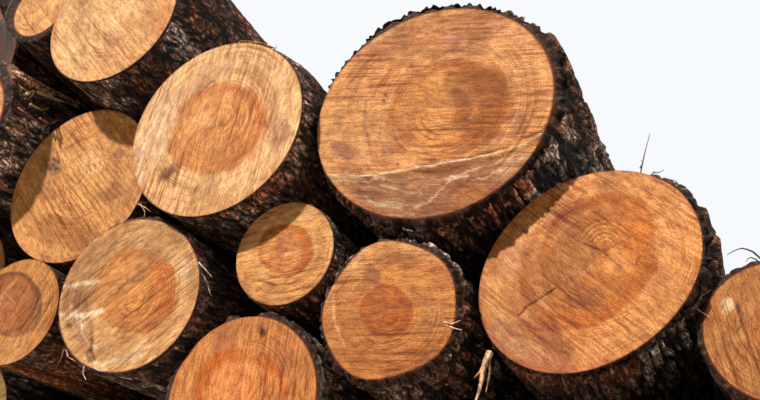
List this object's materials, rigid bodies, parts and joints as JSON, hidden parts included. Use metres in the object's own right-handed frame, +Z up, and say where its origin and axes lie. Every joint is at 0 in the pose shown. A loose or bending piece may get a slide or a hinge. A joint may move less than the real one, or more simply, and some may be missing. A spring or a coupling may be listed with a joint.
{
  "type": "heap of logs",
  "caption": "Heap of round sawlogs with bark on, laid side by side in their hollows, with their sawn butts facing the front.",
  "frame": {"origin": "middle of the heap's footprint, on the floor", "axes": "+X across the heap to the right seen from the butts, +Y along the logs from butts to thin ends, +Z up"},
  "size_m": [5.3384, 3.51, 2.4309],
  "materials": {
    "log_wood": "rough sawn ends and ridged bark"
  },
  "bodies": {
    "root": {"fourth_row_log_1": "log_wood", "fourth_row_log_2": "log_wood", "fourth_row_log_3": "log_wood", "fourth_row_log_4": "log_wood", "ground_log_1": "log_wood", "ground_log_2": "log_wood", "ground_log_3": "log_wood", "ground_log_4": "log_wood", "ground_log_5": "log_wood", "ground_log_6": "log_wood", "ground_log_7": "log_wood", "ground_log_8": "log_wood", "ground_log_9": "log_wood", "second_row_log_1": "log_wood", "second_row_log_2": "log_wood", "second_row_log_3": "log_wood", "second_row_log_4": "log_wood", "second_row_log_5": "log_wood", "second_row_log_6": "log_wood", "second_row_log_7": "log_wood", "second_row_log_8": "log_wood", "third_row_log_1": "log_wood", "third_row_log_2": "log_wood", "third_row_log_3": "log_wood", "third_row_log_4": "log_wood", "third_row_log_5": "log_wood", "third_row_log_6": "log_wood", "top_log_1": "log_wood", "top_log_2": "log_wood", "top_log_3": "log_wood", "top_log_4": "log_wood", "top_log_5": "log_wood"}
  },
  "joints": []
}
